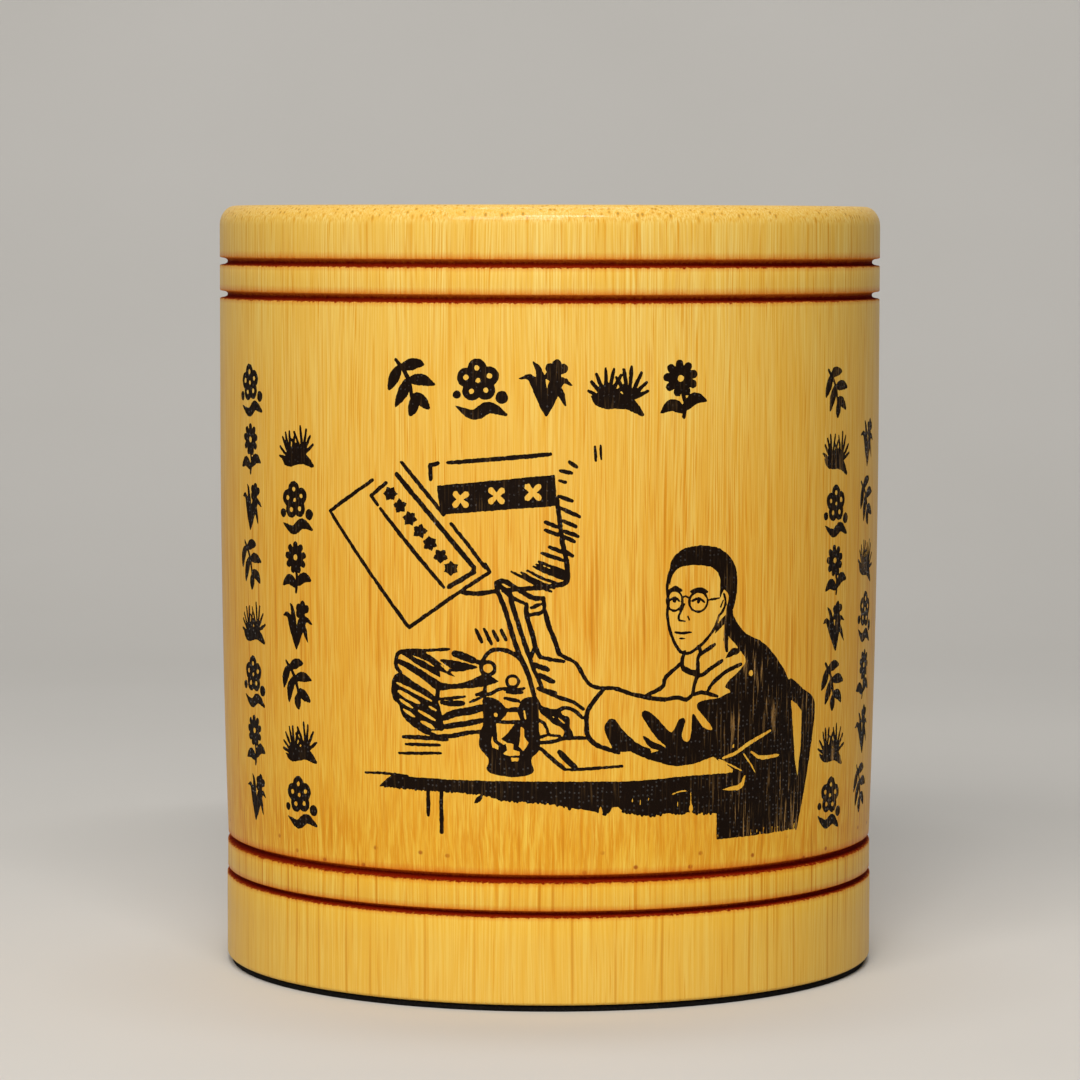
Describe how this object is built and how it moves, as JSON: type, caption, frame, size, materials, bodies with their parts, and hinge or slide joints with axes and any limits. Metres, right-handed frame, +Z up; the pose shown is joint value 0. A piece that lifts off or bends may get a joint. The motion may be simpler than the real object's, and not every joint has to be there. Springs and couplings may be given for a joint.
{
  "type": "brush holder pot",
  "caption": "Turned bamboo brush pot: an open cylinder with a rounded rim, dark turned grooves, an engraved front, a glued-in floor board and a thin pad underneath.",
  "frame": {"origin": "centre of the pad's underside, on the table", "axes": "+Z up along the pot's axis; the engraved front faces -Y"},
  "size_m": [0.1046, 0.1046, 0.12],
  "materials": {
    "bamboo": "clear satin lacquer over turned golden bamboo, scorched brown in the grooves",
    "board": "sanded bamboo board, unlacquered",
    "pad": "black needled felt",
    "engraving": "charred engraving with black fill, slightly glossy"
  },
  "bodies": {
    "root": {"culm_wall": "bamboo", "floor_board": "board", "base_pad": "pad"}
  },
  "joints": []
}
